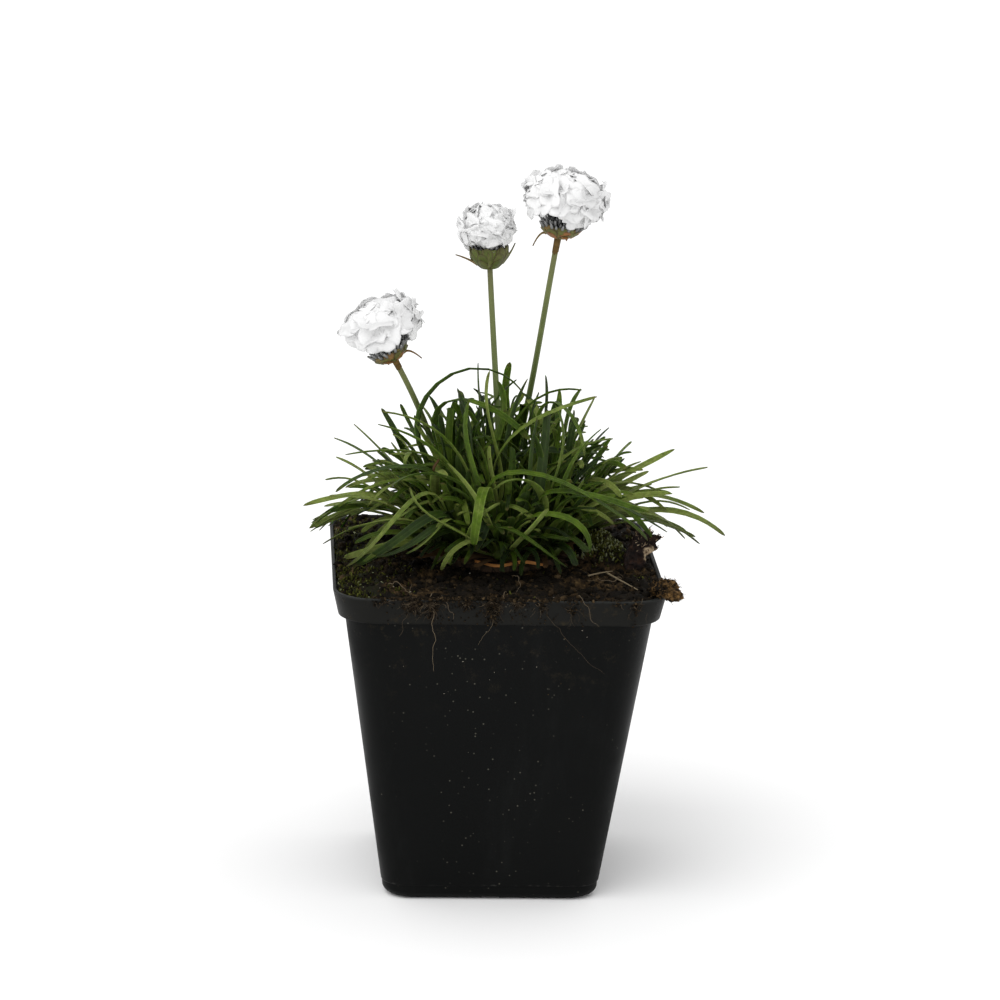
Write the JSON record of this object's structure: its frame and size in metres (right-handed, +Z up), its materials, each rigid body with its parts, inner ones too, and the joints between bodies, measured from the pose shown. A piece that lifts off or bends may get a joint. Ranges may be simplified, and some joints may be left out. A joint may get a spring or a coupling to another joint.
{
  "type": "potted sea thrift",
  "caption": "Square tapered black nursery pot of peat with a tuft of narrow green leaves and round white flower heads on bare stems.",
  "frame": {"origin": "middle of the flat underside of the pot", "axes": "+Z up along the pot; -Y is the front face, +X to the right seen from the front"},
  "size_m": [0.1167, 0.0936, 0.2005],
  "materials": {
    "black_plastic": "satin",
    "peat": "matte",
    "rootstock_bark": "matte",
    "leaf_green": "satin",
    "stem_green": "satin",
    "bract_green": "matte",
    "petal_white": "matte",
    "bark_flake": "matte",
    "fibrous_peat": "matte",
    "dead_leaf": "matte",
    "straw": "matte"
  },
  "bodies": {
    "root": {"pot": "black_plastic", "soil": "peat", "rootstock": "rootstock_bark", "rosette_1": "leaf_green", "rosette_2": "leaf_green", "rosette_3": "leaf_green", "rosette_4": "leaf_green", "rosette_5": "leaf_green", "rosette_6": "leaf_green", "rosette_7": "leaf_green", "rosette_8": "leaf_green", "rosette_9": "leaf_green", "flower_stem_1": "stem_green", "involucre_1": "bract_green", "flower_head_1": "petal_white", "flower_stem_2": "stem_green", "involucre_2": "bract_green", "flower_head_2": "petal_white", "flower_stem_3": "stem_green", "involucre_3": "bract_green", "flower_head_3": "petal_white", "bark_flake": "bark_flake", "peat_clod": "fibrous_peat", "dead_leaf": "dead_leaf", "straw": "straw"}
  },
  "joints": []
}
